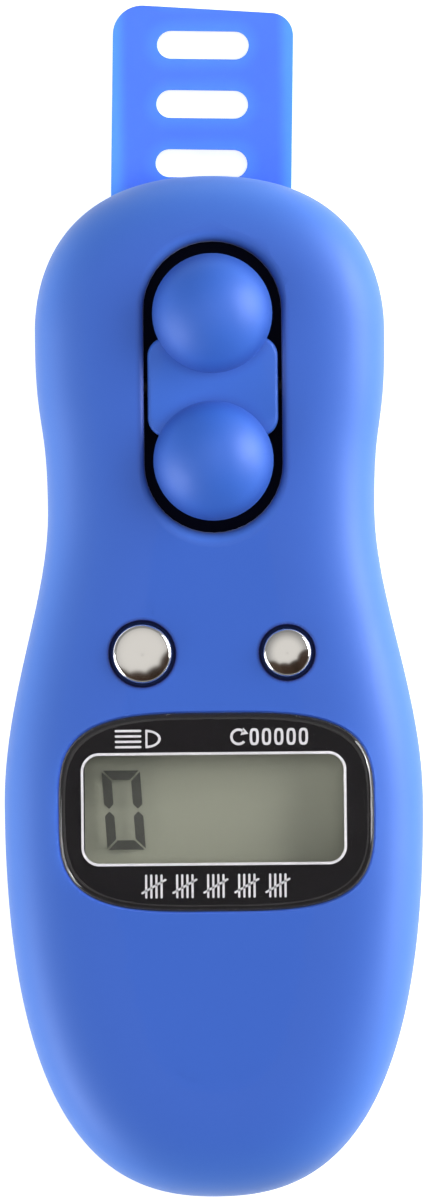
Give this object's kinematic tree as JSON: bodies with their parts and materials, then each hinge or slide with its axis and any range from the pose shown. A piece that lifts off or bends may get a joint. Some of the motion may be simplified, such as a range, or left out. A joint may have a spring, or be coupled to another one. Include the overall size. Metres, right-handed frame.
{
  "type": "digital tally counter",
  "caption": "Palm-sized digital tally counter with a two-way thumb rocker, two chrome buttons, a framed display and a slotted finger strap on its back.",
  "frame": {"origin": "middle of the whole length, strap included, on the flat back that the counter rests on", "axes": "+Z out of the display, +Y along the case towards the strap's free end, +X to the right as the picture shows it"},
  "size_m": [0.0328, 0.0935, 0.0162],
  "materials": {
    "case_plastic": "soft-touch satin blue",
    "key_plastic": "soft-touch satin blue",
    "steel": "plain steel",
    "screw_steel": "nickel-plated steel",
    "dark_steel": "blackened steel",
    "switch_plastic": "moulded black",
    "chrome": "polished chrome plate",
    "clear_lens": "clear polished acrylic",
    "black_print": "screen print",
    "white_print": "screen print",
    "black_foam": "closed-cell foam",
    "display_film": "polariser film",
    "display_glass": "thin float glass",
    "segment_ink": "dark liquid crystal",
    "reflector": "grey-green reflector film",
    "white_plastic": "moulded white",
    "zebra_rubber": "layered conductive rubber",
    "light_guide": "milky acrylic",
    "led": "phosphor lens",
    "board": "green solder mask",
    "epoxy": "cured epoxy",
    "ceramic": "ceramic chips",
    "strap_rubber": "translucent silicone"
  },
  "bodies": {
    "case": {"front_shell": "case_plastic", "back_shell": "case_plastic", "rocker_pin": "dark_steel", "switch_housings": "switch_plastic", "switch_legs": "steel", "display_lens": "clear_lens", "display_mask": "black_print", "display_line": "white_print", "lens_tape": "black_foam", "lcd_gasket": "black_foam", "lcd_film": "display_film", "lcd_front_glass": "display_glass", "lcd_segments": "segment_ink", "lcd_rear_glass": "display_glass", "lcd_reflector": "reflector", "lcd_frame": "white_plastic", "zebra_strips": "zebra_rubber", "light_guide": "light_guide", "backlight_led": "led", "circuit_board": "board", "chip_blob": "epoxy", "board_parts": "ceramic", "cell_can": "steel", "cell_cap": "steel", "negative_spring": "steel", "positive_clip": "steel", "case_screws": "screw_steel", "spring_bar": "steel"},
    "rocker": {"rocker_key": "key_plastic"},
    "up_stem": {"count_up_stem": "switch_plastic"},
    "down_stem": {"count_down_stem": "switch_plastic"},
    "lamp_key": {"lamp_button": "chrome", "lamp_stem": "switch_plastic"},
    "reset_key": {"reset_button": "chrome", "reset_stem": "switch_plastic"},
    "strap": {"finger_strap": "strap_rubber"},
    "door": {"battery_door": "case_plastic", "door_screw": "screw_steel"}
  },
  "joints": [
    {"name": "rocker_tilt", "type": "hinge", "parent": "case", "child": "rocker", "pos_m": [0.00022, 0.01678, 0.0102], "axis": [1, 0, 0], "range_deg": [-3, 3], "stiffness_Nm_per_rad": 0.18},
    {"name": "up_stem_slide", "type": "slide", "parent": "case", "child": "up_stem", "axis": [0, 0, 1], "range_m": [-0.0003, 0.0003]},
    {"name": "down_stem_slide", "type": "slide", "parent": "case", "child": "down_stem", "axis": [0, 0, 1], "range_m": [-0.00032, 0.00032]},
    {"name": "lamp_press", "type": "slide", "parent": "case", "child": "lamp_key", "axis": [0, 0, -1], "range_m": [0, 0.00035], "stiffness_N_per_m": 3500},
    {"name": "reset_press", "type": "slide", "parent": "case", "child": "reset_key", "axis": [0, 0, -1], "range_m": [0, 0.00035], "stiffness_N_per_m": 3500},
    {"name": "strap_swing", "type": "hinge", "parent": "case", "child": "strap", "pos_m": [-0.00055, -0.00962, 0.0018], "axis": [-1, 0, 0], "range_deg": [0, 100]},
    {"name": "door_lift", "type": "slide", "parent": "case", "child": "door", "axis": [0, 0, -1], "range_m": [0, 0.012]}
  ],
  "couplings": [
    {"joint": "rocker_tilt", "follows": "up_stem_slide", "rad_per_m": 173.91},
    {"joint": "down_stem_slide", "follows": "up_stem_slide", "ratio": -1}
  ]
}
